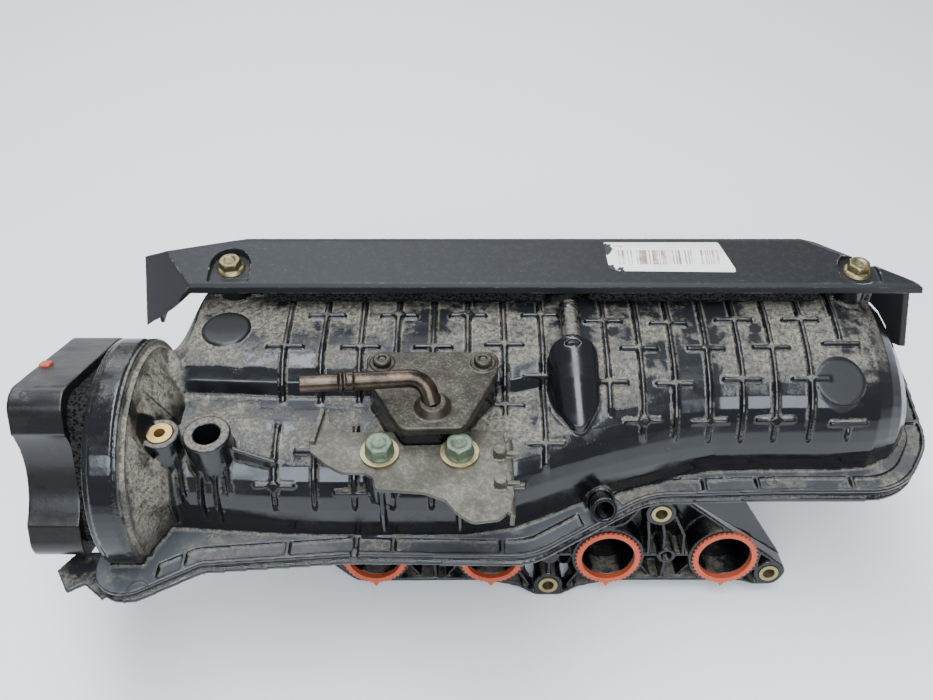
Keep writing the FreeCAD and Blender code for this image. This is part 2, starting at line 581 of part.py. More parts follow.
# ---- throttle end --------------------------------------------------------------------------------
def block_lugs():
    return [(THROTTLE_Y + BLOCK_LUG_PITCH_R * math.cos(math.radians(BLOCK_TURN + 90 * k)),
             THROTTLE_Z + BLOCK_LUG_PITCH_R * math.sin(math.radians(BLOCK_TURN + 90 * k)))
            for k in range(4)]


def turned_square(half, corner_r, x0, x1):
    """Square plate on the bore axis, corners rounded, turned so that its lugs sit off-square."""
    corners = [(half, half, corner_r), (-half, half, corner_r), (-half, -half, corner_r),
               (half, -half, corner_r)]
    flat = rounded_prism(corners, 0, x1 - x0)
    spin = Placement(Vector(0, 0, 0), Rotation(Vector(0, 0, 1), BLOCK_TURN - 45))
    stand = Placement(Vector(x0, THROTTLE_Y, THROTTLE_Z), Rotation(Vector(1, 1, 1), 120))
    return placed(flat, stand.multiply(spin))


def build_throttle_end():
    x0, x1 = BLOCK_X, NECK_X - 0.02
    half = BLOCK_LUG_PITCH_R / math.sqrt(2) + BLOCK_LUG_R
    body = turned_square(half, BLOCK_LUG_R, x0, x1)
    for turn in (135, 225):
        a = math.radians(BLOCK_TURN + turn)
        body = body.cut(cyl((x0 - 1, THROTTLE_Y + 95 * math.cos(a), THROTTLE_Z + 95 * math.sin(a)),
                            (1, 0, 0), 50.0, 60))
    bore = cyl((x0 - 1, THROTTLE_Y, THROTTLE_Z), (1, 0, 0), THROTTLE_R, 50)
    body = body.cut(bore)
    groove = tube((x0 - 1, THROTTLE_Y, THROTTLE_Z), (1, 0, 0), 39.5, 35.5, 3.5)
    body = body.cut(groove)
    inserts = []
    for y, z in block_lugs():
        body = body.cut(cyl((x0 - 1, y, z), (1, 0, 0), 4.5, 17))
        inserts.append(tube((x0, y, z), (1, 0, 0), 4.5, 2.6, 14))
    a = math.radians(BLOCK_TURN + 45)
    tab = box(x0 - 2.2, x0 + 4.6, -3.4, 3.4, 36.5, 52.0)
    tab = placed(tab, Placement(Vector(0, THROTTLE_Y, THROTTLE_Z),
                                Rotation(Vector(1, 0, 0), math.degrees(a) - 90)))
    keep("throttle_flange", body.cut(tab))
    ring = tube((x0 - 0.8, THROTTLE_Y, THROTTLE_Z), (1, 0, 0), 39.4, 35.6, 3.2)
    keep("throttle_seal", ring.fuse(tab))
    keep("throttle_inserts", Part.makeCompound(inserts))

    gasket = turned_square(49.0, 14.0, NECK_X + 0.02, DRUM_X0 - 0.3)
    gasket = gasket.cut(cyl((NECK_X - 1, THROTTLE_Y, THROTTLE_Z), (1, 0, 0), NECK_R, 30))
    keep("throttle_gasket", gasket)



# ---- service cover -------------------------------------------------------------------------------
def half_space(p, q, r, outside):
    """Large box on the side of plane pqr that holds the point outside."""
    p, q, r, outside = Vector(*p), Vector(*q), Vector(*r), Vector(*outside)
    n = (q - p).cross(r - p).normalize()
    if n.dot(outside - p) < 0:
        n = n * -1
    slab = Part.makeBox(900, 900, 400, Vector(-450, -450, 0))
    return placed(slab, Placement(p, Rotation(Vector(0, 0, 1), n)))


COVER_PROFILE = [(85, 118), (85, 183.6), (87, 185.8), (122, 192), (127.5, 190), (153, 118)]
COVER_ENDS = [
    ((163, 123, 192.2), (229, 88.7, 186.1), (262, 150, 150), (400, 150, 200)),
    ((229, 88.7, 186.1), (236, 85, 178.5), (237.4, 95, 125.3), (400, 80, 200)),
    ((-204, 125, 192.5), (-262, 113, 190.4), (-277, 135, 168.7), (-400, 150, 260)),
    ((-256, 110.3, 189.9), (-238.8, 85.5, 185.5), (-278.7, 95, 139.8), (-400, 80, 200)),
    ((-279, 0, 0), (-279, 100, 0), (-279, 0, 100), (-400, 0, 0)),
]


def cover_hull(shrink):
    """Solid inside the cover's faces, each face moved inward by shrink."""
    vs = [Vector(-330, y, z) for y, z in COVER_PROFILE]
    body = Part.Face(Part.makePolygon(vs + vs[:1])).extrude(Vector(620, 0, 0))
    faces = list(COVER_ENDS)
    for (ya, za), (yb, zb) in zip(COVER_PROFILE, COVER_PROFILE[1:]):
        faces.append(((0, ya, za), (10, ya, za), (0, yb, zb), (0, ya - (zb - za), za + yb - ya)))
    for p, q, r, outside in faces:
        n = (Vector(*q) - Vector(*p)).cross(Vector(*r) - Vector(*p)).normalize()
        if n.dot(Vector(*outside) - Vector(*p)) < 0:
            n = n * -1
        moved = [tuple(Vector(*v) - n * shrink) for v in (p, q, r)]
        body = body.cut(half_space(*moved, outside))
    return body


def yz_wedge(points, x0, x1):
    vs = [Vector(x0, y, z) for y, z in points]
    return Part.Face(Part.makePolygon(vs + vs[:1])).extrude(Vector(x1 - x0, 0, 0))


def build_cover():
    hull = cover_hull(0.0)
    body = hull.cut(cover_hull(COVER_T))
    lip = COVER_LIP_Z
    front = yz_wedge([(40, lip), (COVER_LIP_Y + 5, lip), (COVER_LIP_Y + 5, 60), (40, 60)], -238.8, 300)
    corner = [Vector(x, 40, z) for x, z in ((-238.8, lip), (-280, 138.5), (-320, 138.5),
                                            (-320, 60), (-238.8, 60))]
    facet = Part.Face(Part.makePolygon(corner + corner[:1])).extrude(Vector(0, 78, 0))
    end = yz_wedge([(60, 125), (97, 125), (115, 150), (170, 150), (170, 40), (60, 40)], 180, 300)
    clear = dome(1.2).common(box(150, 300, 60, 160, JOINT_Z, 200))
    body = body.cut(fuse([front, facet, end, box(-300, 300, 60, 170, 60, 121)])).cut(clear)
    for x, y in COVER_BOLTS:
        pocket = cyl((x, y, COVER_SEAT_Z), (0, 0, 1), 13.0, 30)
        pocket = pocket.fuse(box(x - 13, x + 13, COVER_LIP_Y + 3.5, y, COVER_SEAT_Z, COVER_SEAT_Z + 30))
        seat = cyl((x, y, COVER_SEAT_Z - COVER_T), (0, 0, 1), 15.5, 12)
        body = body.fuse(seat.common(hull)).cut(pocket)
        body = body.cut(cyl((x, y, COVER_SEAT_Z - 10), (0, 0, 1), 5.6, 30))
    return body


def build_cover_group():
    keep("service_cover", build_cover())
    for name, x0, x1 in (("foam_strip_left", -190, -8), ("foam_strip_right", 19, 170)):
        keep(name, yz_wedge([(86, 167.6), (86, 178.2), (88.5, 178.6), (88.5, 182.4), (106, 185.4),
                             (106, 167.6)], x0, x1))
    bolts, collars, inserts = [], [], []
    for x, y in COVER_BOLTS:
        bolts.append(flange_bolt((x, y, COVER_SEAT_Z + 0.02), 9.6, 6.5, 4.0, 16.0, 6.0))
        rise = COVER_SEAT_Z - POST_TOP - 0.02
        collars.append(tube((x, y, POST_TOP + 0.02), (0, 0, 1), 5.55, 4.15, rise))
        inserts.append(tube((x, y, POST_TOP - 15.8), (0, 0, 1), 5.55, 4.05, 15.8))
    keep("cover_bolts", Part.makeCompound(bolts))
    keep("cover_collars", Part.makeCompound(collars))
    keep("cover_inserts", Part.makeCompound(inserts))


def hexagon(p, af, h, turn=0.0):
    r = af / math.sqrt(3)
    pts = [Vector(p[0] + r * math.cos(math.radians(turn + 60 * k)),
                  p[1] + r * math.sin(math.radians(turn + 60 * k)), p[2]) for k in range(6)]
    return Part.Face(Part.makePolygon(pts + pts[:1])).extrude(Vector(0, 0, h))


def flange_bolt(seat, washer_r, hex_half, shank_r, length, head_h, turn=12.0):
    """Hexagon bolt with a pressed flange; seat is the centre of the seating face."""
    x, y, z = seat
    washer = Part.makeCone(washer_r, washer_r - 1.6, 2.0, Vector(x, y, z))
    head = hexagon((x, y, z + 1.5), 2 * hex_half, head_h, turn)
    crown = Part.makeCone(hex_half * 1.155, hex_half * 0.93, 1.6, Vector(x, y, z + head_h + 0.2))
    trimmed = head.common(cyl((x, y, z), (0, 0, 1), hex_half * 1.155, head_h + 0.2).fuse(crown))
    dish = Part.makeCone(hex_half * 0.45, hex_half * 0.7, 1.0, Vector(x, y, z + head_h + 0.6))
    shank = cyl((x, y, z - length), (0, 0, 1), shank_r, length)
    return fuse([washer, trimmed, shank]).cut(dish)


# ---- valve cap, breather pipe, bracket, nipples, label -------------------------------------------
def arc_path(points, radius):
    """Wire of straight runs joined by tangent arcs of the given radius."""
    pts = [Vector(*p) for p in points]
    edges, last = [], pts[0]
    for p, q, r in zip(pts, pts[1:], pts[2:]):
        a, b = (p - q).normalize(), (r - q).normalize()
        half = math.acos(max(-1, min(1, a.dot(b)))) / 2
        cut = radius / math.tan(half)
        mid = q + (a + b).normalize() * (radius / math.sin(half) - radius)
        edges.append(Part.makeLine(last, q + a * cut))
        edges.append(Part.Arc(q + a * cut, mid, q + b * cut).toShape())
        last = q + b * cut
    edges.append(Part.makeLine(last, pts[-1]))
    return Part.Wire(edges)


def pipe_along(points, radius, r):
    wire = arc_path(points, radius)
    start = Vector(*points[0])
    ring = Part.Wire(Part.makeCircle(r, start, Vector(*points[1]) - start))
    return wire.makePipeShell([ring], True, True)


PIPE_POINTS = [(-155.0, -7.6, 193.0), (-84.0, 2.5, 187.5), (-79.5, -9.0, 176.0)]
PIPE_BEND_R = 12.0
PIPE_R, PIPE_TAIL_R, PIPE_TAIL_LEN = 5.3, 4.85, 22.0


def build_top_fittings():
    z0 = CAP_Z + 0.02
    body = rounded_prism(CAP_OUTLINE, z0 + 1.5, z0 + 7.0)
    tops = [e for e in body.Edges if abs(e.BoundBox.ZMin - z0 - 7.0) < 0.01]
    body = fillet_safe(body, tops, 1.2)
    lugs = [cyl((x, y, z0 + 1.5), (0, 0, 1), 7.5, 6.5) for x, y in CAP_SCREWS]
    socket = Part.makeCone(11.5, 7.6, 5.0, Vector(*CAP_HOLE, z0 + 6.5))
    body = fuse([body, socket] + lugs)
    body = body.cut(box(-101, -61, -20, 31, z0 + 1, z0 + 4.2).common(rounded_prism(
        CAP_OUTLINE, z0, z0 + 10, 6.0)))
    for x, y in CAP_SCREWS:
        body = body.cut(cyl((x, y, z0 + 1), (0, 0, 1), 2.7, 10))
    along = (Vector(*PIPE_POINTS[1]) - Vector(*PIPE_POINTS[0])).normalize()
    start = Vector(*PIPE_POINTS[0])
    root = start + along * PIPE_TAIL_LEN
    body = body.cut(pipe_along([tuple(root)] + PIPE_POINTS[1:], PIPE_BEND_R, PIPE_R + 0.05))
    keep("valve_cap", body.cut(cyl((*CAP_HOLE, z0 + 1), (0, 0, 1), 3.9, 14)))
    seal = rounded_prism(CAP_OUTLINE, z0, z0 + 1.48, 2.4).cut(cyl((*CAP_HOLE, 160), (0, 0, 1), 9.0, 20))
    for x, y in CAP_SCREWS:
        seal = seal.cut(cyl((x, y, 160), (0, 0, 1), 2.7, 20))
    keep("valve_cap_gasket", seal)
    screws = []
    for x, y in CAP_SCREWS:
        head = cyl((x, y, z0 + 8.02), (0, 0, 1), 5.6, 3.4)
        top = [e for e in head.Edges if abs(e.BoundBox.ZMin - z0 - 11.42) < 0.01]
        head = fillet_safe(head, top, 1.6).cut(hexagon((x, y, z0 + 9.6), 4.8, 3))
        screws.append(head.fuse(cyl((x, y, z0 - 14), (0, 0, 1), 2.15, 22.1)))
    keep("valve_cap_screws", Part.makeCompound(screws))

    outer = pipe_along([tuple(root)] + PIPE_POINTS[1:], PIPE_BEND_R, PIPE_R)
    tail = Part.makeCylinder(PIPE_TAIL_R, PIPE_TAIL_LEN + 1, start, along)
    bead = Part.makeTorus(5.0, 1.4, root + along * 1.5, along)
    collar_ring = Part.makeCylinder(6.0, 4, root + along * 4.5, along)
    inner = pipe_along([tuple(start - along)] + PIPE_POINTS[1:], PIPE_BEND_R, 3.9)
    mouth = Part.makeCone(4.6, 3.6, 3, start - along * 0.01, along)
    keep("breather_pipe", fuse([outer, tail, bead, collar_ring]).cut(inner).cut(mouth))


BRACKET = [(-124, -14, 3), (-38, -13, 4), (-36, -42, 4), (-33, -58, 4), (-36, -69, 5),
           (-42, -75, 6), (-57, -77, 8), (-66, -70, 6), (-72, -62, 8), (-84, -57, 16),
           (-111, -55, 2), (-113, -47, 4), (-118, -43.5, 3), (-131, -43.5, 5), (-140, -38, 5),
           (-151, -28, 5), (-153, -14, 6), (-148, 0, 3), (-143, 2, 2), (-141, -6, 3), (-134, -13, 6)]


def build_bracket():
    z0 = BRACKET_Z + 0.02
    plate = rounded_prism(BRACKET, z0, z0 + BRACKET_T)
    flange = box(-36.0, -33.4, -72, -18, z0 - 8.0, z0 + 1.0)
    fold = cyl((-36.0, -71, z0 - 0.2), (0, 1, 0), 3.1, 52)
    fold = fold.common(box(-36.2, -32.8, -71, -19, z0 - 3, z0 + 3))
    tabs = []
    for y in (-31, -52):
        tabs.append(box(-44, -38, y - 3, y + 3, z0, z0 + 7.5))
        tabs.append(box(-44, -30, y - 1.4, y + 1.4, z0 + 1.5, z0 + 5.5))
        tabs.append(cyl((-41, y, z0), (0, 0, 1), 3.6, 9.0))
    ear = prism([(-151, -24), (-148, -24), (-144.5, 0.5), (-147.5, 1.5)], z0 + 0.5, z0 + 7.0)
    body = fuse([plate, flange, fold, ear] + tabs).cut(rounded_prism(CAP_BASE, z0 - 5, z0 + 30, 1.0))
    for x, y in BRACKET_BOLTS:
        body = body.cut(cyl((x, y, z0 - 2), (0, 0, 1), 4.4, 12))
    keep("cable_bracket", body)
    bolts, washers, inserts = [], [], []
    for k, (x, y) in enumerate(BRACKET_BOLTS):
        bolts.append(flange_bolt((x, y, z0 + BRACKET_T + 2.04), 9.0, 7.2, 4.0, 17.5, 7.0, 8 + 20 * k))
        washers.append(tube((x, y, z0 + BRACKET_T + 0.02), (0, 0, 1), 11.2, 4.2, 2.0))
        inserts.append(tube((x, y, BRACKET_Z - 12.8), (0, 0, 1), 5.55, 4.05, 12.8))
    keep("bracket_bolts", Part.makeCompound(bolts))
    keep("bracket_washers", Part.makeCompound(washers))
    keep("bracket_inserts", Part.makeCompound(inserts))


def build_nipples():
    x, y, z = INSERT_BOSS
    keep("boss_insert", tube((x, y, z - 13.8), (0, 0, 1), 7.45, 3.4, 14.2))
    p, d = Vector(*NIPPLE_ROOT), Vector(*NIPPLE_DIR).normalize()
    body = fuse([Part.makeCylinder(7.7, 16, p + d * 2, d),
                 Part.makeCone(7.7, 8.5, 2.0, p + d * 14, d),
                 Part.makeCylinder(8.5, 4.0, p + d * 16, d)])
    keep("vacuum_nipple", body.cut(Part.makeCylinder(6.0, 50, p - d * 10, d)))
    x, y, z = HOSE_TAIL_X, HOSE_TAIL_Y, HOSE_TAIL_Z
    beads = [Part.makeCone(7.4, 6.2, 3.2, Vector(x, y + 0.3, z), Vector(0, 1, 0)),
             Part.makeCone(6.2, 7.0, 1.5, Vector(x, y + 28, z), Vector(0, 1, 0)),
             Part.makeCone(7.0, 5.4, 6.0, Vector(x, y + 29.5, z), Vector(0, 1, 0))]
    tail = fuse([cyl((x, y - HOSE_SOCKET, z), (0, 1, 0), 6.15, 35 + HOSE_SOCKET)] + beads)
    keep("booster_nipple", tail.cut(cyl((x, y - 13, z), (0, 1, 0), 3.6, 70)))


def build_label():
    corners = [(33, 11.5, 1), (31, 34.5, 1), (107, 34.5, 2), (115, 12, 2), (115, 9, 1), (39, 10, 1)]
    plate = rounded_prism(corners, 0.03, 0.25)
    stand = Placement(Vector(0, 87, 185.8), Rotation(Vector(1, 0, 0), COVER_SLOPE))
    keep("label", placed(plate, stand))


def main():
    os.makedirs("parts", exist_ok=True)
    build_flange()
    build_runners()
    build_upper_shell()
    build_lower_shell()
    build_throttle_end()
    build_cover_group()
    build_top_fittings()
    build_bracket()
    build_nipples()
    build_label()
    for name, shape in NODES.items():
        shape.exportStep("parts/%s.step" % name)


main()
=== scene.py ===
import json
import math

import bmesh
import bpy
from mathutils import Matrix, Vector


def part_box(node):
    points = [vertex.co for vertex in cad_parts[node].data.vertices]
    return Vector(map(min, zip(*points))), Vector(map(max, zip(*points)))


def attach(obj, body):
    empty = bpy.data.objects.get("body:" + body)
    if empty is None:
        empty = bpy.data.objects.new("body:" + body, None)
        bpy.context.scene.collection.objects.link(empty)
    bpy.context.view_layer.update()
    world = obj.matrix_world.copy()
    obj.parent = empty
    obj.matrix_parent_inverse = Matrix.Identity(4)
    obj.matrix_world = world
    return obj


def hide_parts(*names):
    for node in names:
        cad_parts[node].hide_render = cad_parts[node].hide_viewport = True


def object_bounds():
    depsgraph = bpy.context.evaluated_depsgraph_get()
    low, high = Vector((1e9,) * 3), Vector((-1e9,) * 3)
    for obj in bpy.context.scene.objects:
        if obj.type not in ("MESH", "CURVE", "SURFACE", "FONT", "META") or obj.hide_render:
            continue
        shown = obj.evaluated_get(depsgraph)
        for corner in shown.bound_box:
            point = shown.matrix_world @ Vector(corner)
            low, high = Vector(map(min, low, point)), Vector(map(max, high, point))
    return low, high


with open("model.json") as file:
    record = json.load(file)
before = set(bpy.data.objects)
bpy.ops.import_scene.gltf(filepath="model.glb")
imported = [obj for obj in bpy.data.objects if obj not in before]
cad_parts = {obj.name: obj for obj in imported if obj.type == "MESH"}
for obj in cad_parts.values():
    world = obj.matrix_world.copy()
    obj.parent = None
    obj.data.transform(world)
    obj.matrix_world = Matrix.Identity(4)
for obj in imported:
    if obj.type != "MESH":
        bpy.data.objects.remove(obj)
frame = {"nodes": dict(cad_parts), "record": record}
CAD_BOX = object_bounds()
NODES = frame["nodes"]


# ---- materials: a small language for shader graphs ---------------------------------------------
class Graph:
    """Builds one material; values are sockets or plain numbers."""

    def __init__(self, name):
        self.mat = bpy.data.materials.new(name)
        self.mat.use_nodes = True
        self.tree = self.mat.node_tree
        self.tree.nodes.clear()
        self.out = self.tree.nodes.new("ShaderNodeOutputMaterial")
        self.coords = self.add("ShaderNodeTexCoord").outputs["Object"]
        geo = self.add("ShaderNodeNewGeometry")
        self.normal, self.pointy = geo.outputs["Normal"], geo.outputs["Pointiness"]
        split = self.add("ShaderNodeSeparateXYZ", Vector=self.normal)
        self.up = split.outputs["Z"]
        place = self.add("ShaderNodeSeparateXYZ", Vector=self.coords)
        self.x, self.y, self.z = (place.outputs[k] for k in "XYZ")

    def add(self, kind, props=None, **inputs):
        node = self.tree.nodes.new(kind)
        for key, value in (props or {}).items():
            setattr(node, key, value)
        for key, value in inputs.items():
            self.put(node.inputs[key.replace("_", " ")], value)
        return node

    def put(self, socket, value):
        if isinstance(value, bpy.types.NodeSocket):
            self.tree.links.new(value, socket)
        elif isinstance(value, (tuple, list)) and len(value) == 3 and socket.type == "RGBA":
            socket.default_value = (*value, 1.0)
        else:
            socket.default_value = value

    def op(self, name, a, b=0.0, c=0.0, clamp=False):
        node = self.add("ShaderNodeMath", {"operation": name, "use_clamp": clamp})
        for socket, value in zip(node.inputs, (a, b, c)):
            self.put(socket, value)
        return node.outputs[0]

    def times(self, a, *rest):
        for b in rest:
            a = self.op("MULTIPLY", a, b)
        return a

    def without(self, value, mask, share=1.0):
        """The value, less its share wherever the mask is one."""
        return self.times(value, self.op("SUBTRACT", 1.0, self.times(mask, share)))

    def around_zero(self, noise, swing):
        """Noise of 0 to 1, moved to lie around zero."""
        return self.times(self.op("SUBTRACT", noise, 0.5), swing)

    def step(self, value, low, high, out_low=0.0, out_high=1.0):
        node = self.add("ShaderNodeMapRange", {"interpolation_type": "SMOOTHSTEP"}, Value=value)
        for key, v in (("From Min", low), ("From Max", high), ("To Min", out_low), ("To Max", out_high)):
            self.put(node.inputs[key], v)
        return node.outputs[0]

    def noise(self, scale, detail=3.0, rough=0.55, stretch=None, shift=0.0):
        vector = self.coords
        if stretch or shift:
            vector = self.add("ShaderNodeMapping", Vector=self.coords,
                              Location=(shift, shift * 0.7, shift * 1.3),
                              Scale=stretch or (1, 1, 1)).outputs[0]
        return self.add("ShaderNodeTexNoise", Vector=vector, Scale=scale, Detail=detail,
                        Roughness=rough).outputs["Fac"]

    def specks(self, scale, size, shift=0.0):
        vector = self.add("ShaderNodeMapping", Vector=self.coords, Location=(shift, shift, shift))
        node = self.add("ShaderNodeTexVoronoi", Vector=vector.outputs[0], Scale=scale)
        return self.step(node.outputs["Distance"], size, size * 0.5)

    def blend(self, fac, a, b):
        node = self.add("ShaderNodeMix", {"data_type": "RGBA"})
        self.put(node.inputs[0], fac)
        self.put(node.inputs[6], a)
        self.put(node.inputs[7], b)
        return node.outputs[2]

    def mixf(self, fac, a, b):
        node = self.add("ShaderNodeMix", {"data_type": "FLOAT"})
        self.put(node.inputs[0], fac)
        self.put(node.inputs[2], a)
        self.put(node.inputs[3], b)
        return node.outputs[0]

    def bump(self, height, depth, strength=1.0, normal=None):
        node = self.add("ShaderNodeBump", Height=height, Distance=depth, Strength=strength)
        if normal is not None:
            self.put(node.inputs["Normal"], normal)
        return node.outputs[0]

    def finish(self, **inputs):
        shader = self.add("ShaderNodeBsdfPrincipled")
        for key, value in inputs.items():
            self.put(shader.inputs[key.replace("_", " ")], value)
        self.tree.links.new(shader.outputs[0], self.out.inputs[0])
        return self.mat


DUST = (0.150, 0.126, 0.094)
DUST_PALE = (0.36, 0.318, 0.248)
DUST_DARK = (0.12, 0.10, 0.075)
CRUMB = (0.52, 0.49, 0.43)
FILM = (0.072, 0.076, 0.082)
WORN = (0.42, 0.42, 0.41)
# Round places of the plan view, as (centre, radius) in metres.
PADS = [((-0.2150, 0.067), 0.0150), ((0.1765, 0.0345), 0.0150)]
INSERT_BOSS = [((-0.241, -0.014), 0.0122)]
POD = [((0.0068, 0.0330), 0.0185), ((0.0078, 0.0170), 0.0170)]
DABS = [((0.0349, 0.0663), 0.0042), ((0.1273, 0.0700), 0.0042), ((0.1262, 0.0630), 0.0038)]
LABEL_TEARS = [((0.0310, 0.1150), 0.0048), ((0.0340, 0.0990), 0.0042), ((0.0400, 0.0985), 0.0024)]
BARS_PER_METRE = 1350.0
RIM_MARKS = [((-0.2548, -0.0785), 0.0062), ((0.1385, 0.0018), 0.0042), ((0.2361, 0.0301), 0.0036),
             ((-0.1849, 0.0689), 0.0070)]
RIM_HEIGHT = 0.0915


def disc_mask(g, discs, soft=0.0006, noise=None):
    """One inside each disc of the plan view, and zero outside."""
    total = 0.0
    for (cx, cy), r in discs:
        dx, dy = g.op("SUBTRACT", g.x, cx), g.op("SUBTRACT", g.y, cy)
        away = g.op("SQRT", g.op("ADD", g.op("MULTIPLY", dx, dx), g.op("MULTIPLY", dy, dy)))
        if noise is not None:
            away = g.op("ADD", away, noise)
        inside = g.step(away, r + soft, r - soft)
        total = g.op("MAXIMUM", total, inside)
    return total


def settled_dust(g, patches, blots, fine, corner, ridge):
    """Dust on what faces up, wiped away in patches, thick at rib roots and worn off the ribs."""
    ragged = g.around_zero(blots, 0.55)
    level = g.step(g.op("ADD", g.up, g.times(ragged, 0.40)), 0.78, 0.97)
    clear = g.step(g.op("ADD", patches, ragged), 0.40, 0.56)
    amount = g.op("ADD", g.times(clear, 0.78), g.times(corner, 0.75), clamp=True)
    amount = g.times(amount, level)
    low = g.times(corner, g.step(g.up, 0.15, 0.55, 0.0, 0.45))
    amount = g.op("MAXIMUM", amount, g.times(low, g.step(blots, 0.42, 0.56)))
    amount = g.times(amount, g.step(fine, 0.36, 0.58, 0.22, 1.0))
    return g.without(amount, ridge, 0.85)


def valley_dust(g, blots, fine, ridge):
    """Dust caught between the collar and the dome, round the foot of the insert boss."""
    valley = g.times(g.step(g.x, -0.2560, -0.2545), g.step(g.x, -0.2350, -0.2430),
                     g.step(g.z, 0.092, 0.096))
    caught = g.times(g.step(blots, 0.38, 0.54, 0.25, 0.95), g.step(fine, 0.36, 0.58, 0.3, 1.0))
    caught = g.without(caught, ridge, 0.85)
    caught = g.times(caught, g.step(g.z, 0.100, 0.135, 0.55, 1.0))
    return g.times(valley, g.without(caught, disc_mask(g, INSERT_BOSS, 0.0008)))


def bare_places(g, fine):
    """Masks: the dome's dark discs and dabs alone, and with the collar's pad and the hose pod."""
    wobble = g.around_zero(fine, 0.004)
    discs = g.op("MAXIMUM", disc_mask(g, PADS), disc_mask(g, DABS, 0.0008, wobble))
    bare = g.times(g.op("GREATER_THAN", g.z, 0.10), discs)
    collar = g.times(g.step(g.x, -0.2565, -0.2575), g.op("GREATER_THAN", g.z, 0.094))
    pod = g.times(disc_mask(g, POD, 0.001), g.step(g.pointy, 0.46, 0.49))
    return bare, g.op("MAXIMUM", bare, g.op("MAXIMUM", g.times(collar, 0.93), g.times(pod, 0.9)))


def dusty_plastic(name, base, rough=0.15, dust=1.0, marks=False):
    """Glass-filled moulding: glossy black under settled dust; marks adds what only the dome has."""
    g = Graph(name)
    patches = g.noise(15.0, 5.0, 0.62)
    blots = g.noise(75.0, 5.0, 0.68, shift=3.1)
    fine = g.noise(420.0, 4.0, 0.75, shift=1.1)
    grain = g.noise(1500.0, 2.0, 0.7)
    corner = g.step(g.pointy, 0.497, 0.470)
    ridge = g.step(g.pointy, 0.515, 0.545)
    amount = settled_dust(g, patches, blots, fine, corner, ridge)
    film = g.times(g.step(g.up, 0.72, 0.99), g.mixf(patches, 0.08, 0.36))
    if marks:
        bare, clean = bare_places(g, fine)
        amount = g.op("MAXIMUM", amount, valley_dust(g, blots, fine, ridge))
        amount = g.without(amount, clean, 0.97)
        rim = g.times(g.step(g.z, RIM_HEIGHT + 0.001, RIM_HEIGHT), g.op("GREATER_THAN", g.up, 0.9))
        swept = g.times(rim, g.step(g.noise(22.0, 5.0, 0.65, shift=7.0), 0.40, 0.56))
        amount = g.without(amount, swept, 0.80)
        film = g.without(g.op("MAXIMUM", film, g.times(rim, 0.80)), clean)
    amount = g.op("MULTIPLY", amount, dust, clamp=True)
    tone = g.blend(g.step(grain, 0.30, 0.68), DUST, DUST_PALE)
    tone = g.blend(g.step(fine, 0.62, 0.74), tone, DUST_DARK)
    color = g.blend(g.times(film, 0.75), base, FILM)
    color = g.blend(amount, color, tone)
    crumbs = g.times(g.specks(420.0, 0.085), g.step(blots, 0.50, 0.62),
                     g.step(g.up, 0.0, 0.6, 0.15, 1.0))
    color = g.blend(g.op("MULTIPLY", crumbs, 0.8 * dust, clamp=True), color, CRUMB)
    color = g.blend(g.times(ridge, g.step(blots, 0.55, 0.7, 0.0, 0.22)), color, (0.16, 0.16, 0.165))
    smear = g.noise(34.0, 4.0, 0.6, stretch=(1, 3, 1), shift=5.0)
    roughness = g.op("ADD", rough, g.times(g.step(smear, 0.42, 0.70), 0.14))
    roughness = g.mixf(film, roughness, 0.50)
    roughness = g.mixf(amount, roughness, 0.95)
    if marks:
        roughness = g.mixf(bare, roughness, 0.42)
    normal = g.bump(g.noise(260.0, 3.0, 0.6), 0.00012, 0.5)
    normal = g.bump(g.times(g.op("ADD", grain, fine), amount), 0.0008, 0.7, normal)
    if marks:
        inner = [(centre, r - 0.0013) for centre, r in RIM_MARKS]
        rings = g.op("SUBTRACT", disc_mask(g, RIM_MARKS, 0.0003), disc_mask(g, inner, 0.0003))
        normal = g.bump(rings, 0.0006, 1.0, normal)
    return g.finish(Base_Color=color, Roughness=roughness, Normal=normal, Specular_IOR_Level=0.5)


def cover_plastic(name):
    """Charcoal-black satin moulding with scratches and a chalky worn lip."""
    g = Graph(name)
    clouds = g.noise(16.0, 5.0, 0.65)
    fine = g.noise(300.0, 4.0, 0.7)
    color = g.blend(clouds, (0.0085, 0.0088, 0.0095), (0.0165, 0.0170, 0.0180))
    scratch = g.step(g.noise(26.0, 5.0, 0.75, stretch=(0.5, 9.0, 2.0), shift=2.2), 0.66, 0.70)
    color = g.blend(g.op("MULTIPLY", scratch, g.step(clouds, 0.50, 0.62, 0.0, 0.35)), color, WORN)
    edge = g.step(g.op("ADD", g.pointy, g.around_zero(fine, 0.05)), 0.512, 0.560)
    chalk = g.step(g.noise(55.0, 5.0, 0.7, stretch=(1, 3, 3), shift=6.0), 0.47, 0.62)
    color = g.blend(g.op("MULTIPLY", g.op("MULTIPLY", edge, chalk), 0.65), color, WORN)
    dust = g.op("MULTIPLY", g.step(g.up, 0.80, 1.0), g.op("MULTIPLY", g.step(fine, 0.45, 0.75), 0.035))
    color = g.blend(dust, color, DUST_PALE)
    crumbs = g.op("MULTIPLY", g.specks(260.0, 0.05), g.step(clouds, 0.5, 0.6))
    color = g.blend(g.op("MULTIPLY", crumbs, 0.5), color, (0.5, 0.47, 0.42))
    roughness = g.mixf(clouds, 0.44, 0.60)
    normal = g.bump(g.noise(900.0, 3.0, 0.6), 0.00010, 0.5)
    return g.finish(Base_Color=color, Roughness=roughness, Normal=normal, Specular_IOR_Level=0.32)


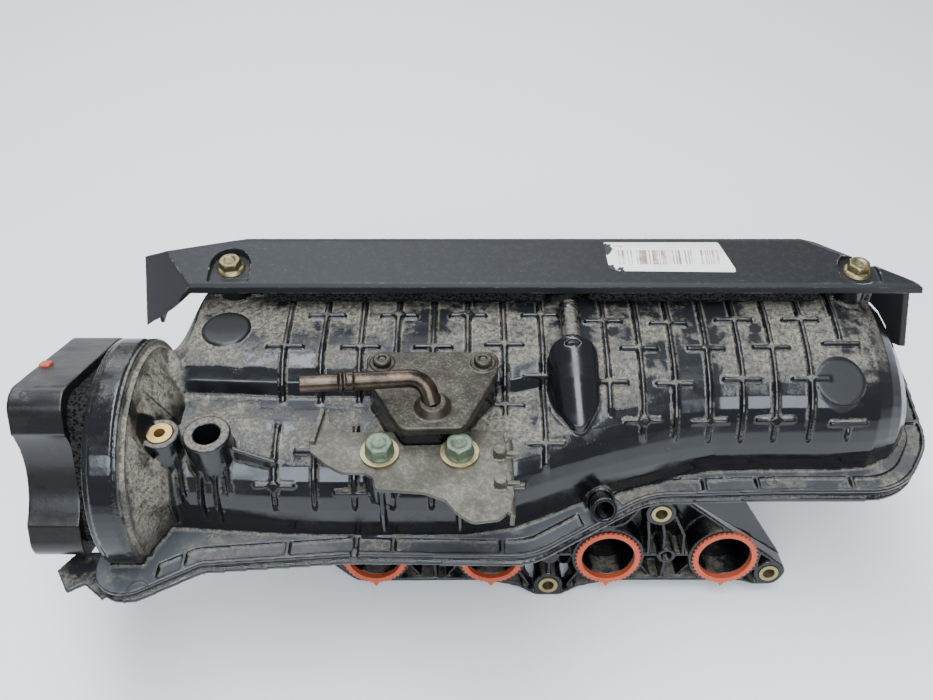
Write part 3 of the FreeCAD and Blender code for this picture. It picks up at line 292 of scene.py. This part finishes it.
def metal(name, light, dark, rough=0.35, grime=0.35, scale=120.0, metallic=0.9, dust=0.5):
    """Plated or cast metal: mottled tone, patches of grime, dust where it faces up and in low spots."""
    g = Graph(name)
    mottled = g.noise(scale, 5.0, 0.65)
    fine = g.noise(scale * 7.0, 4.0, 0.7, shift=4.0)
    dirt = g.step(g.noise(scale * 0.35, 5.0, 0.7, shift=2.0), 0.48, 0.66)
    color = g.blend(g.step(mottled, 0.32, 0.68), dark, light)
    color = g.blend(g.op("MULTIPLY", dirt, grime), color, (0.030, 0.024, 0.017))
    corner = g.step(g.pointy, 0.495, 0.46)
    fall = g.op("MULTIPLY", g.step(g.up, 0.55, 1.0), g.step(fine, 0.46, 0.66))
    fall = g.op("MULTIPLY", fall, g.op("MULTIPLY", g.step(mottled, 0.36, 0.60, 0.35, 1.0), dust))
    fall = g.op("MAXIMUM", fall, g.op("MULTIPLY", corner, dust * 0.6))
    color = g.blend(fall, color, DUST_PALE)
    edge = g.op("MULTIPLY", g.step(g.pointy, 0.54, 0.62), 0.35)
    color = g.blend(edge, color, tuple(min(1.0, v * 1.8) for v in light))
    roughness = g.mixf(mottled, rough, rough + 0.18)
    roughness = g.mixf(fall, roughness, 0.9)
    normal = g.bump(fine, 0.00014, 0.7)
    return g.finish(Base_Color=color, Roughness=roughness, Normal=normal,
                    Metallic=g.mixf(fall, metallic, 0.0))


def silicone(name):
    g = Graph(name)
    stain = g.noise(90.0, 4.0, 0.65)
    color = g.blend(stain, (0.42, 0.050, 0.018), (0.60, 0.115, 0.045))
    color = g.blend(g.step(g.noise(260.0, 4.0, 0.7), 0.58, 0.72), color, (0.16, 0.045, 0.03))
    normal = g.bump(g.noise(700.0, 3.0), 0.00015, 0.6)
    return g.finish(Base_Color=color, Roughness=g.mixf(stain, 0.42, 0.68), Normal=normal,
                    Subsurface_Weight=0.05)


def foam(name):
    """Coarse open-cell foam, charcoal, with dust caught in it."""
    g = Graph(name)
    cells = g.add("ShaderNodeTexVoronoi", Vector=g.coords, Scale=520.0).outputs["Distance"]
    big = g.noise(170.0, 4.0, 0.7)
    color = g.blend(g.step(cells, 0.18, 0.70), (0.002, 0.002, 0.002), (0.024, 0.023, 0.022))
    color = g.blend(g.op("MULTIPLY", g.specks(500.0, 0.16), g.step(big, 0.50, 0.65, 0.0, 0.40)), color,
                    (0.24, 0.21, 0.17))
    height = g.op("ADD", g.op("MULTIPLY", cells, 0.9), g.op("MULTIPLY", big, 0.6))
    return g.finish(Base_Color=color, Roughness=1.0, Normal=g.bump(height, 0.0016, 1.0),
                    Specular_IOR_Level=0.10)


def sticker(name):
    """Worn blank sticker with a plain block of bars: no words or digits."""
    g = Graph(name)
    cell = g.op("FLOOR", g.op("MULTIPLY", g.x, BARS_PER_METRE))
    chance = g.add("ShaderNodeTexWhiteNoise", {"noise_dimensions": "1D"}, W=cell).outputs["Value"]
    across = g.op("MULTIPLY", g.step(g.x, 0.0396, 0.0400), g.step(g.x, 0.1084, 0.1080))
    along = g.op("MULTIPLY", g.step(g.y, 0.1020, 0.1024), g.step(g.y, 0.1144, 0.1140))
    bars = g.op("MULTIPLY", g.op("GREATER_THAN", chance, 0.50), g.op("MULTIPLY", across, along))
    fade = g.step(g.noise(90.0, 4.0, 0.7), 0.35, 0.6, 0.35, 0.95)
    stain = g.step(g.noise(40.0, 5.0, 0.7, shift=4.0), 0.48, 0.72)
    top_edge = g.op("MULTIPLY", g.step(g.y, 0.112, 0.121), 0.5)
    aged = g.op("MAXIMUM", g.op("MULTIPLY", stain, 0.6), top_edge)
    paper = g.blend(aged, (0.82, 0.79, 0.74), (0.60, 0.50, 0.40))
    color = g.blend(g.op("MULTIPLY", bars, fade), paper, (0.26, 0.15, 0.095))
    wobble = g.around_zero(g.noise(150.0, 4.0, 0.7, shift=8.0), 0.012)
    color = g.blend(disc_mask(g, LABEL_TEARS, 0.0003, wobble), color, (0.020, 0.020, 0.021))
    scratches = g.noise(210.0, 4.0, 0.7, stretch=(0.5, 1.6, 1), shift=3.0)
    scrape = g.op("MULTIPLY", g.step(scratches, 0.63, 0.66), top_edge)
    color = g.blend(g.op("MULTIPLY", scrape, 1.8, clamp=True), color, (0.07, 0.06, 0.055))
    return g.finish(Base_Color=color, Roughness=0.55, Normal=g.bump(g.noise(500.0), 0.0001, 0.5))


MATS = {
    "black_nylon": dusty_plastic("black_nylon", (0.0048, 0.0050, 0.0058), 0.15, 0.75),
    "cover_nylon": cover_plastic("cover_nylon"),
    "silicone": silicone("silicone"),
    "zinc_steel": metal("zinc_steel", (0.32, 0.265, 0.135), (0.16, 0.13, 0.06), 0.34, 0.40),
    "bracket_steel": metal("bracket_steel", (0.125, 0.116, 0.092), (0.066, 0.060, 0.046), 0.42, 0.35,
                           60.0, 0.60, 0.32),
    "olive_zinc": metal("olive_zinc", (0.165, 0.215, 0.150), (0.095, 0.135, 0.088), 0.42, 0.35,
                        160.0, 0.6, 0.4),
    "cast": metal("cast", (0.055, 0.045, 0.033), (0.023, 0.019, 0.014), 0.32, 0.45, 90.0, 0.60, 0.24),
    "pipe_steel": metal("pipe_steel", (0.105, 0.070, 0.048), (0.030, 0.022, 0.017), 0.20, 0.35,
                        70.0, 0.85, 0.12),
    "brass_part": metal("brass_part", (0.56, 0.38, 0.14), (0.32, 0.20, 0.07), 0.30, 0.35),
    "foam": foam("foam"),
    "seal_rubber": metal("seal_rubber", (0.03, 0.03, 0.03), (0.015, 0.015, 0.015), 0.7, 0.2,
                         90.0, 0.0, 0.2),
    "paper_label": sticker("paper_label"),
}
DOME_NYLON = dusty_plastic("dome_nylon", (0.0048, 0.0050, 0.0058), 0.15, 1.0, marks=True)
BLOCK_NYLON = dusty_plastic("block_nylon", (0.0065, 0.0058, 0.0055), 0.24, 0.22)
SLOT = {p["node"]: p["material_slot"] for p in frame["record"]["subparts"]}


# ---- finishing the CAD nodes ---------------------------------------------------------------------
def modifier(obj, kind, name, **props):
    m = obj.modifiers.new(name, kind)
    for key, value in props.items():
        setattr(m, key, value)
    return m


def soften(obj, voxel, rounds=2, factor=0.5):
    """Rounds every edge and root of a moulding by rebuilding its skin on a fine grid."""
    modifier(obj, "WELD", "weld", merge_threshold=0.00002)
    modifier(obj, "REMESH", "skin", mode="VOXEL", voxel_size=voxel, adaptivity=0.0,
             use_smooth_shade=True)
    modifier(obj, "SMOOTH", "flow", factor=factor, iterations=rounds)


# Grid of each softened node in metres, finer on smaller parts.
VOXELS = {"upper_shell": 0.0009, "lower_shell": 0.0010, "head_flange": 0.0007,
          "throttle_flange": 0.0007, "service_cover": 0.0006, "valve_cap": 0.0005,
          "cable_bracket": 0.0005, "vacuum_nipple": 0.0005, "breather_pipe": 0.0005,
          "bracket_bolts": 0.0004, "cover_bolts": 0.0004, "valve_cap_screws": 0.0004}
for name, obj in NODES.items():
    obj.data.materials.clear()
    obj.data.materials.append(MATS[SLOT[name]])
    if name in VOXELS:
        soften(obj, VOXELS[name])
NODES["upper_shell"].data.materials[0] = DOME_NYLON
NODES["throttle_flange"].data.materials[0] = BLOCK_NYLON


# ---- foam strips ------------------------------------------------------------------------------------
WAVES = ((370, 1.3, 0.5), (811, 2.1, 0.3), (1530, 0.7, 0.2))       # radians per metre, phase, share


def wave(x, seed):
    """Uneven ripple between -1 and 1."""
    return sum(math.sin(x * rate + seed * phase) * share for rate, phase, share in WAVES)


def foam_strip(node, ribs_pitch=0.0235):
    """Soft strip squeezed between the cover and the ribs: crowned skin and a scalloped front foot."""
    low, high = (Vector(v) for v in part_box(node))
    steps, around = int((high.x - low.x) / 0.0015), 28
    mid_y, mid_z = (low.y + high.y) / 2, (low.z + high.z) / 2
    half_y, half_z = (high.y - low.y) / 2, (high.z - low.z) / 2
    verts, faces = [], []
    for i in range(steps + 1):
        t = i / steps
        x = low.x + (high.x - low.x) * t
        end = min(1.0, 0.80 + 0.20 * math.sqrt(min(1.0, min(t, 1 - t) * steps / 3)))
        press = 0.0011 * (0.5 + 0.5 * math.cos(2 * math.pi * (x + 0.004) / ribs_pitch)) ** 3
        for k in range(around):
            a = 2 * math.pi * k / around
            cy, cz = math.cos(a), math.sin(a)
            sy, sz = abs(cy) ** 0.45 * math.copysign(1, cy), abs(cz) ** 0.45 * math.copysign(1, cz)
            y = mid_y + sy * half_y * end * (0.985 + 0.012 * wave(x + k, 1.0))
            z = mid_z + sz * half_z * end * 0.985
            if cz < -0.2:
                z += press + 0.0004 * wave(x, 3.0)
            if cz > 0:
                z -= 0.0042 * max(0.0, (mid_y + half_y * 0.55 - y) / (half_y * 1.5)) * cz
            verts.append((x, y, z))
    for i in range(steps):
        for k in range(around):
            a, b = i * around + k, i * around + (k + 1) % around
            faces.append((a, b, b + around, a + around))
    faces += [tuple(range(around)), tuple(reversed(range(steps * around, (steps + 1) * around)))]
    mesh = bpy.data.meshes.new(node + "_pad")
    mesh.from_pydata(verts, [], faces)
    mesh.validate()
    bm = bmesh.new()
    bm.from_mesh(mesh)
    bmesh.ops.recalc_face_normals(bm, faces=bm.faces)
    bm.to_mesh(mesh)
    bm.free()
    mesh.polygons.foreach_set("use_smooth", [True] * len(mesh.polygons))
    pad = bpy.data.objects.new(node + "_pad", mesh)
    bpy.context.scene.collection.objects.link(pad)
    mesh.materials.append(MATS["foam"])
    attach(pad, "root")
    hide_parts(node)
    return pad


for name in ("foam_strip_left", "foam_strip_right"):
    foam_strip(name)


# ---- the seal's tab, folded over the edge of the throttle block -------------------------------------
def seal_tab(centre, turn, size, corner=0.0012):
    """Small moulded tongue with rounded corners and a crowned top, turned about X."""
    (sx, sy, sz), rows = size, []
    spin = Matrix.Rotation(turn, 3, "X")
    for inset, height in ((0.0, -0.5), (0.0, 0.2), (0.25, 0.42), (0.6, 0.5)):
        row = []
        for qx, qy, a0 in ((1, 1, 0), (-1, 1, 90), (-1, -1, 180), (1, -1, 270)):
            for k in range(4):
                a = math.radians(a0 + 30 * k)
                x = qx * (sx / 2 - corner) + corner * math.cos(a)
                y = qy * (sy / 2 - corner) + corner * math.sin(a)
                pull = 1 - inset * 0.0012 / min(sx, sy) * 2
                row.append(Vector(centre) + spin @ Vector((x * pull, y * pull, height * sz)))
        rows.append(row)
    n = len(rows[0])
    faces = [(r * n + k, r * n + (k + 1) % n, (r + 1) * n + (k + 1) % n, (r + 1) * n + k)
             for r in range(len(rows) - 1) for k in range(n)]
    faces += [tuple(reversed(range(n))), tuple(range((len(rows) - 1) * n, len(rows) * n))]
    mesh = bpy.data.meshes.new("seal_tab")
    mesh.from_pydata([v for row in rows for v in row], [], faces)
    mesh.materials.append(MATS["silicone"])
    tab = bpy.data.objects.new("seal_tab", mesh)
    bpy.context.scene.collection.objects.link(tab)
    modifier(tab, "BEVEL", "edge", width=0.0004, segments=2)
    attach(tab, "root")


seal_tab((-0.3160, 0.0272, 0.1722), math.radians(-26), (0.0068, 0.0072, 0.0036))

# ---- stage ------------------------------------------------------------------------------------------
floor_z = CAD_BOX[0][2] - 0.0002
corners = [(x, y, floor_z) for x, y in ((-6, -6), (6, -6), (6, 6), (-6, 6))]
mesh = bpy.data.meshes.new("floor")
mesh.from_pydata(corners, [], [(0, 1, 2, 3)])
floor = bpy.data.objects.new("floor", mesh)
bpy.context.scene.collection.objects.link(floor)
g = Graph("floor")
floor.data.materials.append(g.finish(Base_Color=(0.93, 0.93, 0.93), Roughness=0.9))


def area_light(name, place, target, size, power, color=(1, 1, 1)):
    data = bpy.data.lights.new(name, "AREA")
    data.shape = "RECTANGLE"
    data.size, data.size_y = size
    data.energy = power
    data.color = color
    obj = bpy.data.objects.new(name, data)
    obj.location = place
    obj.rotation_euler = (Vector(target) - Vector(place)).to_track_quat("-Z", "Y").to_euler()
    bpy.context.scene.collection.objects.link(obj)


area_light("overhead", (-0.1, -0.10, 1.5), (0, -0.05, 0.1), (2.0, 0.55), 46.0, (0.86, 0.93, 1.0))
area_light("back", (-0.4, 1.9, 1.4), (0, 0.05, 0.1), (2.0, 0.6), 20.0, (0.90, 0.95, 1.0))
area_light("front", (0.0, -1.45, 1.35), (0, -0.05, 0.1), (2.0, 0.5), 30.0, (0.80, 0.90, 1.0))
world = bpy.data.worlds.new("studio")
world.use_nodes = True
world.node_tree.nodes["Background"].inputs[0].default_value = (0.84, 0.90, 1.0, 1)
world.node_tree.nodes["Background"].inputs[1].default_value = 0.44
bpy.context.scene.world = world

camera = bpy.data.cameras.new("camera")
camera.lens = 35.6913
camera.sensor_width = 36.0
cam = bpy.data.objects.new("camera", camera)
cam.location = (-0.060, -0.3619, 0.5797)
cam.rotation_euler = (math.radians(44.6), 0, 0)
bpy.context.scene.collection.objects.link(cam)
bpy.context.scene.camera = cam
